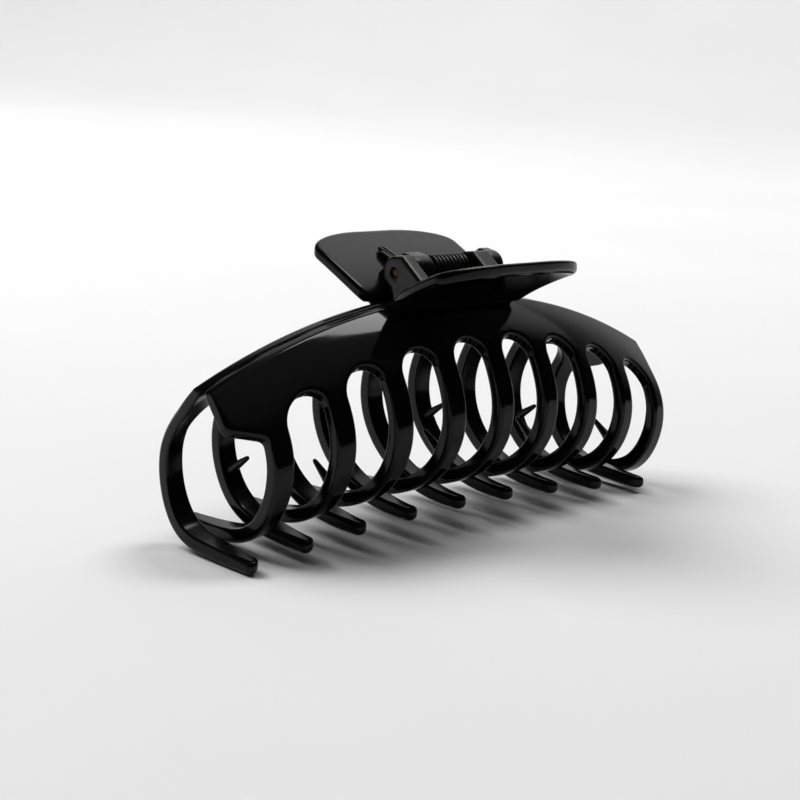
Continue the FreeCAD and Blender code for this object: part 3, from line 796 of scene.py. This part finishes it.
tree.links.new(ramp(tree, speck, [(0.3, (0.80, 0.80, 0.80)), (0.7, (0.82, 0.82, 0.82))]), bsdf.inputs["Base Color"])
bsdf.inputs["Roughness"].default_value = 0.9
bsdf.inputs["Specular IOR Level"].default_value = 0.1
floor_mesh.materials.append(floor_mat)

world = bpy.data.worlds.new("studio")
bpy.context.scene.world = world
world.use_nodes = True
wt = world.node_tree
background = wt.nodes["Background"]
coord = wt.nodes.new("ShaderNodeTexCoord")


def lobe(direction, inner, outer, level):
    """Soft round patch of light in one direction."""
    d = Vector(direction).normalized()
    dot = wt.nodes.new("ShaderNodeVectorMath")
    dot.operation = "DOT_PRODUCT"
    dot.inputs[1].default_value = d
    wt.links.new(coord.outputs["Generated"], dot.inputs[0])
    m = wt.nodes.new("ShaderNodeMapRange")
    m.interpolation_type = "SMOOTHSTEP"
    m.inputs["From Min"].default_value = math.cos(math.radians(outer))
    m.inputs["From Max"].default_value = math.cos(math.radians(inner))
    m.inputs["To Min"].default_value = 0.0
    m.inputs["To Max"].default_value = level
    wt.links.new(dot.outputs["Value"], m.inputs["Value"])
    return m.outputs["Result"]


def add(a, b_):
    n = wt.nodes.new("ShaderNodeMath")
    n.operation = "ADD"
    for i, v in enumerate((a, b_)):
        if isinstance(v, float):
            n.inputs[i].default_value = v
        else:
            wt.links.new(v, n.inputs[i])
    return n.outputs["Value"]


total = add(0.015, lobe((-0.72, 0.66, 0.15), 10, 45, 0.15))            # pale wall, left and behind
total = add(total, lobe((0.76, 0.20, 0.61), 8, 27, 0.78))              # soft box, right and above
total = add(total, lobe((0.60, 0.50, 0.62), 8, 26, 0.28))              # its far end
total = add(total, lobe((0.20, -0.05, 0.98), 10, 42, 0.26))            # pale ceiling
combine = wt.nodes.new("ShaderNodeCombineColor")
for i in range(3):
    wt.links.new(total, combine.inputs[i])
wt.links.new(combine.outputs["Color"], background.inputs["Color"])
background.inputs["Strength"].default_value = 1.0


def area(name, place, target, size, power, spread=180.0):
    data = bpy.data.lights.new(name, "AREA")
    data.shape, data.size, data.energy = "DISK", size, power
    data.spread = math.radians(spread)
    obj = bpy.data.objects.new(name, data)
    obj.location = place
    obj.rotation_euler = (Vector(target) - Vector(place)).to_track_quat("-Z", "Y").to_euler()
    bpy.context.scene.collection.objects.link(obj)
    return obj


area("overhead", (-0.45, 0.95, 1.35), (0.05, 0.10, 0), 1.2, 22.0).visible_glossy = False
area("backdrop", (0.9, 0.2, 1.9), (1.2, 1.1, 0.5), 1.0, 26.0)

# camera fitted to the photograph's view
AZ, EL, ROLL, DIST, FOCAL = 45.14, 13.29, 4.03, 403.83, 1821.96
U0, V0 = 433.69, 280.01 + 148.0
az, el, roll = (math.radians(v) for v in (AZ, EL, ROLL))
fwd = Vector((math.sin(az) * math.cos(el), math.cos(az) * math.cos(el), -math.sin(el)))
right = Vector((math.cos(az), -math.sin(az), 0.0))
up = right.cross(fwd)
right_r = right * math.cos(roll) + up * math.sin(roll)
up_r = -right * math.sin(roll) + up * math.cos(roll)
cam_data = bpy.data.cameras.new("camera")
cam = bpy.data.objects.new("camera", cam_data)
bpy.context.scene.collection.objects.link(cam)
centre = Vector((0, 0, Z0 * MM))
place = centre - fwd * DIST * MM
cam.matrix_world = Matrix(((right_r.x, up_r.x, -fwd.x, place.x), (right_r.y, up_r.y, -fwd.y, place.y),
                           (right_r.z, up_r.z, -fwd.z, place.z), (0, 0, 0, 1)))
cam_data.sensor_width = 36.0
cam_data.lens = FOCAL / 800.0 * 36.0
cam_data.shift_x = (400.0 - U0) / 800.0
cam_data.shift_y = (V0 - 400.0) / 800.0
cam_data.clip_start = 0.01
cam_data.clip_end = 50.0
bpy.context.scene.camera = cam
bpy.context.scene.view_settings.view_transform = "Standard"
